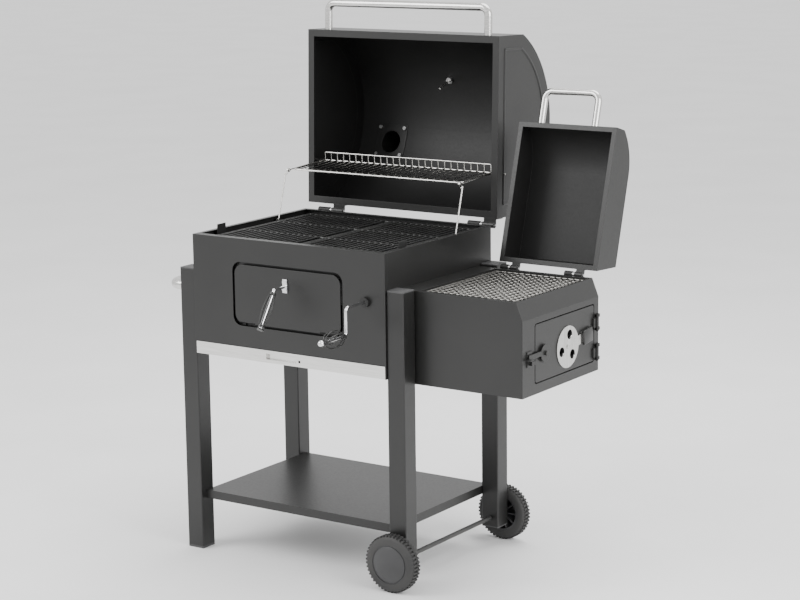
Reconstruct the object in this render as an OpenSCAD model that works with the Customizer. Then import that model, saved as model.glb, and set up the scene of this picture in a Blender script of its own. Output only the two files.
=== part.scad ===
// Offset smoker on a cart: grill body with lid, side firebox, bottom shelf and two wheels.
// Built from the body's left front corner: X to the right, Y to the back, Z up from the floor.
// The last lines move every piece so that the origin is under the middle of the whole object.

/* [Grill body] */
// Width of the grill body
body_w = 600; // [480:1:760]
// Depth of the grill body, front panel to back wall
body_d = 490; // [400:1:620]
// Height of the body's top rim above the floor
body_top_z = 848; // [800:1:950]
// Height of the front panel
panel_h = 280; // [260:1:340]
// Height of the bay that holds the ash drawer
drawer_bay_h = 34; // [28:1:60]
// Thickness of the sheet metal
sheet = 2; // [1.2:0.1:3]
// Thickness of the front panel
panel_t = 2.5; // [1.5:0.1:4]
// Depth of the front panel's folded edges
panel_d = 12; // [8:1:18]
// Width of the rim folded in at the body's top
rim_fold = 12; // [8:1:18]

/* [Cart] */
// Side of the square leg tube
leg_size = 50; // [35:1:60]
// Wall of the leg tube
leg_wall = 2; // [1.2:0.1:4]
// Height of the leg tops above the floor
leg_top_z = 756; // [680:1:780]
// Distance from the panel's face back to the front legs
leg_set_back = 5; // [2:1:12]
// Height of the shelf's top face
shelf_z = 158; // [130:1:320]
// Depth of the shelf's turned-down rim
shelf_rim = 22; // [15:1:40]
// Distance of the shelf's rim behind the legs' front faces
shelf_inset = 20; // [5:1:30]
// Height of the feet under the left legs
foot_h = 6; // [3:1:12]
// Diameter of the frame bolts
bolt_d = 6; // [5:1:8]
// Outer diameter of the side handle's tube
side_handle_d = 28; // [18:1:32]
// Distance from the legs to the middle of the side handle's tube
side_handle_out = 49; // [40:1:90]
// Height of the side handle
side_handle_z = 704; // [400:1:740]

/* [Wheels] */
// Outer diameter of the tyres
wheel_d = 148; // [130:1:220]
// Width of the wheels
wheel_w = 34; // [30:1:60]
// Diameter of the axle
axle_d = 12; // [8:1:14]
// Gap between the legs and the wheels
wheel_gap = 6; // [4:1:20]
// Clearance of the wheel bore over the axle
axle_clearance = 0.6; // [0.3:0.1:1.2]
// Height of the tyre's section above the rim
tyre_h = 24; // [18:1:34]
// Distance that the right legs reach below the axle
leg_below_axle = 22; // [15:1:50]

/* [Fuel door] */
// Width of the fuel door's opening
door_w = 345; // [250:1:380]
// Height of the fuel door's opening
door_h = 166; // [120:1:180]
// Height of the opening's lower edge above the panel's lower edge
door_up = 54; // [40:1:70]
// Corner radius of the fuel door's opening
door_r = 25; // [8:1:30]
// Gap around the fuel door
door_gap = 7; // [2:0.5:10]
// Diameter of the handle rods
rod_d = 8; // [6:1:12]

/* [Crank and charcoal tray] */
// Distance of the crank shaft from the body's right end
crank_from_end = 58; // [50:1:75]
// Distance of the crank shaft below the body's rim
crank_down = 125; // [110:1:150]
// Length of the crank's arm
crank_arm = 69; // [50:1:90]
// Length of the crank shaft in front of the panel
crank_out = 84; // [50:1:110]
// Gear module of the pinion and its toothed bar
gear_module = 2; // [1.5:0.25:2.5]
// Number of teeth on the pinion
pinion_teeth = 20; // [18:1:24]
// Play between the teeth
tooth_play = 0.3; // [0.2:0.05:0.5]
// Lift of the charcoal tray each way from its middle place
tray_lift = 40; // [20:1:40]
// Height of the tray's walls
tray_h = 40; // [25:1:60]
// Diameter of the tray's guide rods
guide_d = 8; // [6:1:12]

/* [Grates] */
// Diameter of the grate wires
wire_d = 4; // [3:0.5:6]
// Diameter of the grates' frame and support rods
grate_rod_d = 6; // [5:0.5:8]
// Distance between the cooking grate's wires, middle to middle
wire_pitch = 18; // [14:1:30]
// Distance between the firebox grate's long wires
mesh_pitch = 18; // [10:1:40]
// Distance between the firebox grate's cross wires
mesh_cross_pitch = 18; // [10:1:50]
// Clearance around lift-out grates
grate_clearance = 2; // [1:0.5:4]

/* [Lid] */
// Height of the lid
lid_h = 266; // [245:1:300]
// Distance that the lid stands over the body's ends
lid_over = 5; // [2:1:10]
// Distance of the lid's front edge behind the panel's face
lid_set_back = 16; // [6:1:24]
// Width of the lid's rim frame
lid_rim_w = 17; // [12:1:25]
// Angle that the lid opens, in degrees
lid_open = 91.8; // [80:0.1:105]
// Diameter of the lid handles' tubes
lid_handle_d = 21; // [16:1:28]
// Distance of the lid handles' tubes from the lid
lid_handle_out = 72; // [50:1:90]
// Clearance between a lid and the box under it
lid_seat = 2; // [1:0.5:4]

/* [Chimney and thermometer] */
// Outer diameter of the chimney pipe
chimney_d = 64; // [50:1:90]
// Length of the chimney pipe
chimney_l = 165; // [120:1:300]
// Distance of the chimney from the body's left end
chimney_x = 101; // [80:1:140]
// Place of the chimney on the lid's arc behind its top, in degrees
chimney_lean = 18.5; // [10:0.5:22]
// Place of the thermometer on the lid's arc in front of its top, in degrees
gauge_lean = 22; // [15:0.5:30]
// Diameter of the thermometer's case
gauge_d = 76; // [50:1:90]

/* [Warming rack] */
// Length of the rack's legs, pivot to pivot
rack_link = 137; // [110:1:160]
// Lean of the rack's legs from upright with the lid open, in degrees
rack_lean = 16; // [10:1:30]
// Depth of the rack between its two pivots
rack_span = 162; // [140:1:220]
// Diameter of the rack's rods
rack_rod_d = 5; // [4:0.5:6]
// Height of the rack's rear fence
fence_h = 22; // [15:1:40]
// Distance between the rack's wires
rack_pitch = 20; // [15:1:30]

/* [Firebox] */
// Length of the firebox beside the body
firebox_w = 353; // [280:1:420]
// Depth of the firebox
firebox_d = 370; // [300:1:374]
// Height of the firebox
firebox_h = 234; // [180:1:280]
// Distance of the firebox's top below the body's rim
firebox_drop = 97; // [85:1:130]
// Width of the slanted edge at the firebox's far end
slant_w = 18; // [10:1:40]
// Height of the slanted edge
slant_h = 45; // [20:1:60]
// Distance of the firebox's lid from the body
firebox_lid_from = 51; // [51:1:70]
// Height of the firebox's lid
firebox_lid_h = 96; // [85:1:130]
// Height of the lid's straight front wall, below the curve
firebox_lid_front_h = 41; // [38:1:60]
// Distance of the firebox lid's handle from its front wall
firebox_handle_out = 88; // [60:1:100]
// Radius of the curve between the lid's front wall and its flat top
firebox_lid_r = 137; // [110:1:170]
// Forward lean of the firebox lid's rear wall, in degrees
firebox_lid_lean = 13; // [0:1:18]
// Angle that the firebox's lid opens, in degrees
firebox_lid_open = 106.1; // [90:0.1:112]
// Diameter of the smoke opening between firebox and body
smoke_d = 110; // [80:1:130]
// Width of the end door's opening
end_door_w = 291; // [220:1:300]
// Height of the end door's opening
end_door_h = 149; // [120:1:155]
// Height of the end door's lower edge above the firebox's floor
end_door_up = 25; // [15:1:40]
// Diameter of the damper disc
damper_d = 105; // [70:1:115]
// Diameter of the damper's holes
damper_hole_d = 24; // [12:1:26]

/* [Hidden] */

round_fn = 64;
wire_fn = 8;
eps = 0.01;
body_color = [0.16, 0.16, 0.155];
inside_color = [0.07, 0.07, 0.07];
steel_color = [0.82, 0.83, 0.84];
rubber_color = [0.1, 0.1, 0.1];
wire_color = [0.6, 0.6, 0.58];

// body
panel_z = body_top_z - panel_h;
body_z = panel_z - drawer_bay_h;
mid_x = body_w / 2;
rim_y = lid_set_back + 4;

// legs
leg_y1 = leg_set_back;
leg_y2 = body_d - leg_size - 2;
axle_z = wheel_d / 2;
axle_x = body_w + leg_size / 2;
right_leg_z = axle_z - leg_below_axle;
cap_t = 3;
plug_h = 12;
plug_play = 0.2;

// wheels
wheel_y1 = leg_y1 - wheel_gap - wheel_w;
wheel_y2 = leg_y2 + leg_size + wheel_gap;
axle_past = 5;
nut_t = 4;
hub_r = 14;
hub_side_play = 1;
rim_r = wheel_d / 2 - tyre_h;
cap_r = rim_r - 3;
cap_dome = 9;

// fuel door
door_x = mid_x - door_w / 2;
door_z = panel_z + door_up;
door_lip = 10;
door_axis_y = panel_t + 4;
door_axis_z = door_z + door_gap + 4;
knuckle_d = 8;
knuckle_l = 24;
pin_d = 5;
hinge_gap = 1;
door_hinge_in = 34;
handle_x = mid_x - 3;
handle_z = door_z + door_h - 51;
handle_out = 48;
handle_lean = 34;
handle_l = 110;
tongue_l = 52;
tongue_rest = 60;
tongue_y = panel_d + sheet + 1;

// crank
crank_x = body_w - crank_from_end;
crank_z = body_top_z - crank_down;
grip_l = 84;
grip_r = 23;
grip_wire = 3;
ball_d = 16;
bend_r = 10;
bush_d = 26;
bush_l = 9;
pinion_y = 22;
pinion_w = 10;

// pinion and toothed bar
pitch_r = gear_module * pinion_teeth / 2;
pressure = 20;
base_r = pitch_r * cos(pressure);
tip_r = pitch_r + gear_module;
root_r = pitch_r - 1.25 * gear_module;
tooth_step = PI * gear_module;
bar_w = 12;
bar_over = 12;

// tray
tray_y1 = pinion_y + pinion_w + 2;
tray_y2 = body_d - 34;
tray_x = 40;
tray_z = crank_z - tray_lift - bar_over - 11;
guide_x = 20;
guide_y1 = 60;
guide_y2 = body_d - 60;
guide_play = 1;
eye_t = 8;
guide_top = body_top_z - 30;
ash_hole_in = 60;

// drawer
rail_t = 2;
rail_w = 14;
rail_y = 16;
drawer_front_d = 12;
pan_play = 1;
pan_h = 27;
pull_w = 96;
pull_h = 15;
pull_x = mid_x - 70;

// cooking grates
ledge_z = body_top_z - 19;
ledge_w = 24;
ledge_t = 3;
grate_x = 23;
grate_y1 = rim_y + 3;
grate_y2 = body_d - rim_fold - 3;
grate_z = ledge_z + ledge_t + grate_rod_d / 2;

// main lid, closed
lid_y2 = body_d;
lid_y1 = lid_set_back;
lid_z = body_top_z + lid_seat;
lid_l = lid_y2 - lid_y1;
lid_mid_y = (lid_y1 + lid_y2) / 2;
lid_axis_y = body_d + 17;
lid_axis_z = body_top_z - 2;
hinge_w = 36;
fb_hinge_w = 21;
hinge_eye_r = 8;
lid_hinges = [36, body_w - 79];
lid_handle_in = 45;
lid_handle_up = 27;
handle_bend = 22;
chimney_y = lid_mid_y + lid_h * sin(chimney_lean);
chimney_z = lid_z + lid_h * cos(chimney_lean);
flange_w = chimney_d + 34;
flange_bolt = flange_w - 18;

// warming rack, lid open
rack_p = [lid_axis_y + rack_link * sin(rack_lean), lid_axis_z + rack_link * cos(rack_lean)];
foot_drop = 9;
rack_f = [lid_axis_y - rack_span, lid_axis_z - foot_drop];
rack_leg_x = 17;
rack_x = 32;
rack_eye_r = 6;
rack_tilt = atan2(foot_drop, rack_span);
rack_l = rack_span / cos(rack_tilt);
rack_play = 0.8;

// firebox
fb_x1 = body_w;
fb_x2 = body_w + firebox_w;
fb_y1 = leg_y1 + leg_size + 5;
fb_y2 = fb_y1 + firebox_d;
fb_z2 = body_top_z - firebox_drop;
fb_z1 = fb_z2 - firebox_h;
fb_mid_y = (fb_y1 + fb_y2) / 2;
fb_lid_x1 = fb_x1 + firebox_lid_from;
fb_lid_x2 = fb_x2 - slant_w + 3;
fb_open_x1 = fb_lid_x1 + 6;
fb_open_x2 = fb_x2 - slant_w - 4;
fb_edge = 12;
fb_axis_y = fb_y2 + 13;
fb_axis_z = fb_z2 + 1;
fb_lid_z = fb_z2 + lid_seat;
fb_lid_y1 = fb_y1 + 3;
fb_lid_y2 = fb_y2 - 1;
fb_hinges = [fb_lid_x1 + 10, fb_lid_x2 - 88];
fb_handle_mid = fb_lid_x1 + 128;
fb_handle_w = 158;
mesh_depth = 10;
mesh_lip = 8;
smoke_z = fb_z1 + firebox_h * 0.62;
fuel_grate_z = fb_z1 + 30;

// end door
ed_y1 = fb_mid_y - 128;
ed_gap = 3;
ed_y2 = ed_y1 + end_door_w;
ed_z1 = fb_z1 + end_door_up;
ed_r = 8;
ed_axis_y = ed_y2 + 6;
ed_axis_x = fb_x2 + 6;
damper_y = ed_y1 + 156;
damper_z = ed_z1 + end_door_h * 0.43;
damper_ring = 31;
damper_x = fb_x2 + 0.5;
damper_t = 2;
damper_arm = 7;
latch_y = ed_y1 + 42;
latch_z = ed_z1 + end_door_h * 0.475;
latch_x = fb_x2 + 4;

// place of the whole: its origin is below the middle of its box with the lids open
x_min = -leg_size - side_handle_out - side_handle_d / 2;
x_max = latch_x + 12;
y_min = -crank_out - bend_r - grip_l - 10 - ball_d / 2;
chimney_top = chimney_z + chimney_l + 3;
y_max = lid_axis_y + cos(lid_open) * (chimney_y - chimney_d / 2 - lid_axis_y)
    + sin(lid_open) * (chimney_top - lid_axis_z);

// ---- helpers ----

// Rounded rectangle of squares and circles, from its lower left corner
module round_rect(w, h, r) {
    translate([r, 0]) square([w - 2 * r, h]);
    translate([0, r]) square([w, h - 2 * r]);
    for (x = [r, w - r], y = [r, h - r])
        translate([x, y]) circle(r, $fn = round_fn);
}

// Box between two corners
module block(a, b) {
    translate(a) cube(b - a);
}

// Extrudes a drawing in Y and Z along X
module along_x(x, w) {
    translate([x, 0, 0]) rotate([90, 0, 90]) linear_extrude(w) children();
}

// Extrudes a drawing in X and Z along Y
module along_y(y, t) {
    translate([0, y + t, 0]) rotate([90, 0, 0]) linear_extrude(t) children();
}

module rod_x(x, y, z, l, d, fn = round_fn) {
    translate([x, y, z]) rotate([0, 90, 0]) cylinder(h = l, d = d, $fn = fn);
}

module rod_y(x, y, z, l, d, fn = round_fn) {
    translate([x, y, z]) rotate([-90, 0, 0]) cylinder(h = l, d = d, $fn = fn);
}

module rod_z(x, y, z, l, d, fn = round_fn) {
    translate([x, y, z]) cylinder(h = l, d = d, $fn = fn);
}

// U-shaped handle: two legs along -Y from y = 0, joined by a bar along X, with round bends
module u_handle(w, out, d, bend) {
    for (side = [0, 1])
        translate([side * w, 0, 0]) mirror([side, 0, 0]) {
            translate([0, bend - out, 0]) rotate([-90, 0, 0])
                cylinder(h = out - bend, d = d, $fn = round_fn);
            translate([bend, bend - out, 0]) rotate([0, 0, 180])
                rotate_extrude(angle = 90, $fn = round_fn) translate([bend, 0])
                    circle(d = d, $fn = round_fn);
        }
    rod_x(bend, -out, 0, w - 2 * bend, d);
}

// Wire cage round a rod along Z: bowed wires between two collars
module cage(l, r, rod, wires) {
    collar = 6;
    bow = l - 2 * collar;
    side = r - rod / 2 - 1.5 * grip_wire;
    arc_r = (bow * bow / 4 + side * side) / (2 * side);
    arc_a = 2 * asin(bow / 2 / arc_r);
    for (z = [0, l - collar])
        translate([0, 0, z]) difference() {
            cylinder(h = collar, d = rod + 2 * grip_wire + 3, $fn = round_fn);
            translate([0, 0, -1]) cylinder(h = collar + 2, d = rod, $fn = round_fn);
        }
    for (i = [0 : wires - 1])
        rotate([0, 0, i * 360 / wires])
            translate([r - grip_wire / 2 - arc_r, 0, l / 2])
                rotate([90, 0, 0]) rotate([0, 0, -arc_a / 2 - 1.5])
                    rotate_extrude(angle = arc_a + 3, $fn = round_fn)
                        translate([arc_r, 0]) circle(d = grip_wire, $fn = 16);
}

// Turns a closed lid to its open place about its hinge axis
module opened(y, z, angle) {
    translate([0, y, z]) rotate([-angle, 0, 0]) translate([0, -y, -z]) children();
}

// ---- cart ----

module leg(x, y, z1, bored) {
    color(body_color) difference() {
        translate([x, y, z1]) linear_extrude(leg_top_z - cap_t - z1) difference() {
            round_rect(leg_size, leg_size, 3);
            translate([leg_wall, leg_wall]) square(leg_size - 2 * leg_wall);
        }
        if (bored) rod_y(axle_x, y - 1, axle_z, leg_size + 2, axle_d);
        shelf_bolt_holes();
        body_bolt_holes();
    }
}

module end_plug(x, y, z, up, t) {
    inner = leg_size - 2 * leg_wall - 2 * plug_play;
    place = leg_wall + plug_play;
    translate([x, y, z]) linear_extrude(t) round_rect(leg_size, leg_size, 3);
    translate([x + place, y + place, up > 0 ? z + t - eps : z - plug_h + eps])
        cube([inner, inner, plug_h]);
}

module leg_end_caps() {
    color(body_color)
        for (x = [-leg_size, body_w], y = [leg_y1, leg_y2]) {
            end_plug(x, y, leg_top_z - cap_t, -1, cap_t);
            if (x < 0) end_plug(x, y, 0, 1, foot_h);
            else end_plug(x, y, right_leg_z - cap_t, 1, cap_t);
        }
}

module shelf_outline(t) {
    y1 = leg_y1 + shelf_inset + t;
    y2 = leg_y2 + leg_size - shelf_inset - t;
    translate([t, y1]) square([body_w - 2 * t, y2 - y1]);
}

shelf_bolts_y = [leg_y1 + leg_size - 15, leg_y2 + 15];

module shelf_bolt_holes() {
    for (x = [-leg_wall - 1, body_w - sheet - 1], y = shelf_bolts_y)
        rod_x(x, y, shelf_z - shelf_rim / 2, leg_wall + sheet + 2, bolt_d);
}

module bottom_shelf() {
    color(body_color) difference() {
        translate([0, 0, shelf_z - shelf_rim]) linear_extrude(shelf_rim) shelf_outline(0);
        translate([0, 0, shelf_z - shelf_rim - 1]) linear_extrude(shelf_rim - sheet + 1) shelf_outline(sheet);
        shelf_bolt_holes();
    }
}

body_bolts_z = [panel_z + 20, leg_top_z - 22];

module body_bolt_holes() {
    for (x = [-leg_wall - 1, body_w - sheet - 1], y = [leg_y1, leg_y2], z = body_bolts_z)
        rod_x(x, y + leg_size / 2, z, leg_wall + sheet + 2, bolt_d);
}

// Bolts from inside through a sheet wall into a leg; side is 1 at the left legs and -1 at the right
module wall_bolt(side, y, z) {
    x = side > 0 ? 0 : body_w;
    mirror_x = side > 0 ? 0 : 1;
    translate([x, y, z]) mirror([mirror_x, 0, 0]) {
        rotate([0, 90, 0]) translate([0, 0, -leg_wall - 3])
            cylinder(h = leg_wall + sheet + 3, d = bolt_d, $fn = round_fn);
        rotate([0, 90, 0]) translate([0, 0, sheet]) cylinder(h = 4, d = bolt_d * 1.8, $fn = 6);
    }
}

module frame_bolts() {
    color(steel_color)
        for (side = [1, -1]) {
            for (y = shelf_bolts_y) wall_bolt(side, y, shelf_z - shelf_rim / 2);
            for (y = [leg_y1, leg_y2], z = body_bolts_z) wall_bolt(side, y + leg_size / 2, z);
        }
    color(steel_color) {
        for (x = lid_hinges) hinge_bolt(x, lid_axis_y, lid_axis_z, hinge_w);
        for (x = fb_hinges) hinge_bolt(x, fb_axis_y, fb_axis_z, fb_hinge_w);
    }
}

module side_handle() {
    color(steel_color)
        translate([-leg_size, leg_y2 + leg_size / 2, side_handle_z]) rotate([0, 0, -90])
            u_handle(leg_y2 - leg_y1, side_handle_out, side_handle_d, 30);
}

module axle() {
    y1 = wheel_y1 - axle_past;
    color(steel_color) rod_y(axle_x, y1, axle_z, wheel_y2 + wheel_w + axle_past - y1, axle_d);
}

// Spacers between legs and wheels, and end nuts outside the wheels
module axle_fittings() {
    d = axle_d + 8;
    color(steel_color)
        for (part = [
            [leg_y1 - wheel_gap + hub_side_play, wheel_gap - hub_side_play],
            [leg_y2 + leg_size, wheel_gap - hub_side_play],
            [wheel_y1 - nut_t - 0.5, nut_t],
            [wheel_y2 + wheel_w + 0.5, nut_t]])
            difference() {
                rod_y(axle_x, part[0], axle_z, part[1], d);
                rod_y(axle_x, part[0] - 1, axle_z, part[1] + 2, axle_d);
            }
}

module tyre(y) {
    r = wheel_d / 2;
    shoulder = 5;
    color(rubber_color) translate([axle_x, y, axle_z]) rotate([-90, 0, 0])
        rotate_extrude($fn = 96) {
            translate([rim_r, shoulder]) square([tyre_h, wheel_w - 2 * shoulder]);
            translate([rim_r, 0]) square([tyre_h - shoulder, wheel_w]);
            for (z = [shoulder, wheel_w - shoulder])
                translate([r - shoulder, z]) circle(shoulder, $fn = 32);
        }
}

// Plastic wheel: hub, rim ring, thin web and spokes; open_side is 1 where its ribs face +Y
module wheel_rim(y, open_side) {
    ring = 6;
    web = 4;
    spokes = 10;
    color(rubber_color) translate([axle_x, y + wheel_w / 2, axle_z])
        mirror([0, open_side > 0 ? 0 : 1, 0]) rotate([-90, 0, 0]) difference() {
            union() {
                translate([0, 0, -wheel_w / 2]) rotate_extrude($fn = 96) {
                    translate([rim_r - ring, 1]) square([ring, wheel_w - 2]);
                    square([hub_r, wheel_w]);
                    translate([hub_r - 1, 1]) square([rim_r - ring - hub_r + 2, web]);
                }
                for (i = [0 : spokes - 1])
                    rotate([0, 0, i * 360 / spokes])
                        translate([hub_r - 1, -2, 1 - wheel_w / 2])
                            cube([rim_r - ring - hub_r + 2, 4, wheel_w - 6]);
            }
            translate([0, 0, -wheel_w / 2 - 1])
                cylinder(h = wheel_w + 2, d = axle_d + axle_clearance, $fn = round_fn);
        }
}

// Domed cap over a wheel's outer face, hollow over the axle's nut; side is 1 where it faces -Y
module hub_cap(y, side) {
    dome_r = (cap_r * cap_r + cap_dome * cap_dome) / (2 * cap_dome);
    color(rubber_color) translate([axle_x, y, axle_z])
        mirror([0, side > 0 ? 0 : 1, 0]) rotate([90, 0, 0])
            rotate_extrude($fn = 96) difference() {
                intersection() {
                    translate([0, cap_dome - dome_r]) circle(dome_r, $fn = 160);
                    square([cap_r, cap_dome]);
                }
                square([axle_d + 3, 7]);
                translate([0, -1]) square([cap_r - 12, 3]);
            }
}

// A wheel's rim with the cap snapped into its outer face
module capped_rim(y, cap_y, side) {
    wheel_rim(y, side);
    hub_cap(cap_y, side);
}

// ---- grill body ----

module door_cut(x, z, w, h, r, y, t) {
    along_y(y, t) translate([x, z]) round_rect(w, h, r);
}

// Left, right and rear walls of the grill's body
module grill_tub() {
    x2 = body_w - sheet;
    color(body_color) difference() {
        union() {
            block([0, panel_d, body_z], [sheet, body_d, body_top_z]);
            block([x2, panel_d, body_z], [body_w, body_d, body_top_z]);
            block([sheet - eps, body_d - sheet, body_z], [x2 + eps, body_d, body_top_z]);
            // cheeks beside the drawer's front
            block([0, 0, body_z], [sheet, panel_d + 1, panel_z]);
            block([x2, 0, body_z], [body_w, panel_d + 1, panel_z]);
        }
        rod_x(x2 - 1, fb_mid_y, smoke_z, sheet + 2, smoke_d);
        body_bolt_holes();
    }
}

// Front wall of the body, behind the panned panel
module tub_front() {
    lip = door_lip;
    color(body_color) difference() {
        block([sheet, panel_d, panel_z], [body_w - sheet, panel_d + sheet, body_top_z]);
        door_cut(door_x + lip, door_z + lip, door_w - 2 * lip, door_h - 2 * lip, door_r - lip,
            panel_d - 1, sheet + 2);
        rod_y(crank_x, panel_d - 1, crank_z, sheet + 2, rod_d + 4);
    }
}

// Floor over the drawer, with the opening that the ash falls through
module tub_floor() {
    in = ash_hole_in;
    color(inside_color) difference() {
        block([sheet, panel_d + sheet, panel_z], [body_w - sheet, body_d - sheet, panel_z + sheet]);
        block([in, in, panel_z - 1], [body_w - in, body_d - in, panel_z + sheet + 1]);
    }
}

// Rim folded inwards round the body's mouth
module tub_rim() {
    z = body_top_z - sheet;
    color(body_color) difference() {
        block([sheet, panel_d + sheet, z], [body_w - sheet, body_d - sheet, body_top_z]);
        block([rim_fold, rim_y, z - 1], [body_w - rim_fold, body_d - rim_fold, body_top_z + 1]);
    }
}

module front_panel() {
    t = panel_t;
    color(body_color) difference() {
        block([0, 0, panel_z], [body_w, panel_d, body_top_z]);
        block([t, t, panel_z + t], [body_w - t, panel_d + 1, body_top_z - t]);
        door_cut(door_x, door_z, door_w, door_h, door_r, -1, t + 2);
        rod_y(crank_x, -1, crank_z, t + 2, rod_d + 4);
    }
}

// Angles that carry the cooking grates, studs for the rack's feet, and tabs that guide the lid
module body_fittings() {
    y1 = panel_d + sheet;
    y2 = body_d - sheet;
    x1 = grate_x;
    x2 = body_w - grate_x;
    tab_x = rim_fold + 2.5;
    color(inside_color) {
        block([x1, y1, ledge_z], [x2, y1 + ledge_w, ledge_z + ledge_t]);
        block([x1, y1, ledge_z - 15], [x2, y1 + ledge_t, ledge_z + eps]);
        block([x1, y2 - ledge_w, ledge_z], [x2, y2, ledge_z + ledge_t]);
        block([x1, y2 - ledge_t, ledge_z - 15], [x2, y2, ledge_z + eps]);
        for (side = [0, 1])
            translate([side * body_w, 0, 0]) mirror([side, 0, 0]) {
                rod_x(sheet, rack_f[0], rack_f[1], rack_leg_x + rack_rod_d / 2 - sheet, rack_rod_d);
                block([sheet, 80, body_top_z - 24], [tab_x + sheet, 118, body_top_z - 24 + sheet]);
                along_x(tab_x, sheet) translate([0, body_top_z])
                    polygon([[80, -24], [84, 14], [117, 14], [118, -24]]);
            }
    }
}

// Bracket on a back wall with an eye on the hinge axis
module hinge_bracket(x, wall_y, y, z, w) {
    difference() {
        union() {
            block([x, wall_y, z - 48], [x + w, wall_y + 3, z - 4]);
            block([x + 3, wall_y + 1, z - 16], [x + w - 3, y + 3, z - 5]);
            rod_x(x, y, z, w, 2 * hinge_eye_r);
        }
        rod_x(x - 1, y, z, w + 2, bolt_d);
        for (dz = [-40, -26]) rod_y(x + w / 2, wall_y - 1, z + dz, 6, bolt_d - 1);
    }
}

module hinge_brackets() {
    color(inside_color) {
        for (x = lid_hinges) hinge_bracket(x, body_d, lid_axis_y, lid_axis_z, hinge_w);
        for (x = fb_hinges) hinge_bracket(x, fb_y2, fb_axis_y, fb_axis_z, fb_hinge_w);
    }
}

// Lid's eye beside the bracket, on a plate under the lid's rear wall
module hinge_tab(x, wall_y, y, z, w, base, rise) {
    x1 = x + w + hinge_gap + 7;
    difference() {
        union() {
            rod_x(x1, y, z, w, 2 * hinge_eye_r);
            block([x1, wall_y, base], [x1 + w, y + hinge_eye_r - 3, z + hinge_eye_r]);
            block([x1, wall_y, base], [x1 + w, wall_y + 3, z + rise]);
        }
        rod_x(x1 - 1, y, z, w + 2, bolt_d + 0.6);
    }
}

// Bolt along a hinge, its head in the gap beside the tab
module hinge_bolt(x, y, z, w) {
    rod_x(x + 1, y, z, 2 * w + 10, bolt_d);
    rod_x(x + w, y, z, 7, bolt_d * 1.9);
}

module drawer_rails() {
    color(body_color)
        for (side = [0, 1])
            translate([side * body_w, 0, 0]) mirror([side, 0, 0]) {
                block([sheet, rail_y, body_z], [sheet + rail_w, body_d - sheet, body_z + rail_t]);
                block([sheet, rail_y, body_z], [sheet + rail_t, body_d - sheet, body_z + 18]);
            }
}

module crank_bush() {
    color(inside_color) difference() {
        union() {
            rod_y(crank_x, -bush_l, crank_z, bush_l, bush_d);
            rod_y(crank_x, -bush_l + 1, crank_z, bush_l + panel_d + sheet + 4, rod_d + 4);
        }
        rod_y(crank_x, -bush_l - 1, crank_z, bush_l + panel_d + sheet + 10, rod_d + 0.6);
    }
}

module tray_guides() {
    color(steel_color)
        for (side = [0, 1], y = [guide_y1, guide_y2])
            translate([side * body_w, 0, 0]) mirror([side, 0, 0]) {
                rod_z(guide_x, y, panel_z + sheet, guide_top - panel_z - sheet, guide_d);
                difference() {
                    block([sheet, y - 8, guide_top - 12],
                        [guide_x + guide_d / 2 + 4, y + 8, guide_top - 4]);
                    rod_z(guide_x, y, guide_top - 20, 30, guide_d);
                }
            }
}

// ---- lid ----

// Outline of the lid in Y and Z, closed, drawn inwards by t: an arc between two upright walls
module lid_outline(t) {
    low = t > 0 ? 1 : 0;
    intersection() {
        translate([lid_y1 + t, lid_z - low]) square([lid_l - 2 * t, lid_h + low]);
        translate([lid_mid_y, lid_z]) circle(lid_h - t, $fn = 360);
    }
}

// Place on the closed lid's arc, Z along the outward normal; lean is positive towards the front
module on_arc(x, lean) {
    translate([x, lid_mid_y, lid_z]) rotate([lean, 0, 0]) translate([0, 0, lid_h]) children();
}

// Places of the chimney's bolts on the arc
module at_flange_bolts() {
    half = flange_bolt / 2;
    for (sx = [-1, 1], sa = [-1, 1])
        on_arc(chimney_x + sx * half, -chimney_lean + sa * half / lid_h * 180 / PI) children();
}

module lid_open_place() {
    opened(lid_axis_y, lid_axis_z, lid_open) children();
}

module lid_wrap() {
    color(body_color) lid_open_place() difference() {
        along_x(-lid_over + sheet, body_w + 2 * lid_over - 2 * sheet) difference() {
            lid_outline(0);
            lid_outline(sheet);
        }
        rod_z(chimney_x, chimney_y, chimney_z - 60, 120, chimney_d);
        on_arc(mid_x, gauge_lean) translate([0, 0, -20]) cylinder(h = 40, d = 10, $fn = round_fn);
        at_flange_bolts() translate([0, 0, -20]) cylinder(h = 40, d = 5, $fn = round_fn);
        for (x = [lid_handle_in, body_w - lid_handle_in])
            rod_y(x, lid_y1 - 5, lid_z + lid_handle_up, 20, bolt_d);
    }
}

module lid_sides() {
    side_hole = rack_rod_d + 2 * rack_play;
    color(body_color) lid_open_place() difference() {
        for (x = [-lid_over, body_w + lid_over - sheet])
            along_x(x, sheet) lid_outline(0);
        closed_point(rack_p) translate([-lid_over - 5, 0, 0]) rotate([0, 90, 0])
            cylinder(h = body_w + 2 * lid_over + 10, d = side_hole, $fn = round_fn);
    }
}

// Place on the closed lid of a point given for the open lid
module closed_point(p) {
    dy = p[0] - lid_axis_y;
    dz = p[1] - lid_axis_z;
    translate([0, lid_axis_y + cos(lid_open) * dy - sin(lid_open) * dz,
        lid_axis_z + sin(lid_open) * dy + cos(lid_open) * dz]) children();
}

module lid_rim() {
    x1 = -lid_over + sheet;
    x2 = body_w + lid_over - sheet;
    y1 = lid_y1 + sheet;
    y2 = lid_y2 - sheet;
    color(body_color) lid_open_place() difference() {
        block([x1, y1, lid_z], [x2, y2, lid_z + sheet]);
        block([x1 + lid_rim_w, y1 + lid_rim_w, lid_z - 1],
            [x2 - lid_rim_w, y2 - lid_rim_w, lid_z + sheet + 1]);
    }
}

module lid_handle() {
    color(steel_color) lid_open_place()
        translate([lid_handle_in, lid_y1, lid_z + lid_handle_up])
            u_handle(body_w - 2 * lid_handle_in, lid_handle_out, lid_handle_d, handle_bend);
}

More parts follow.
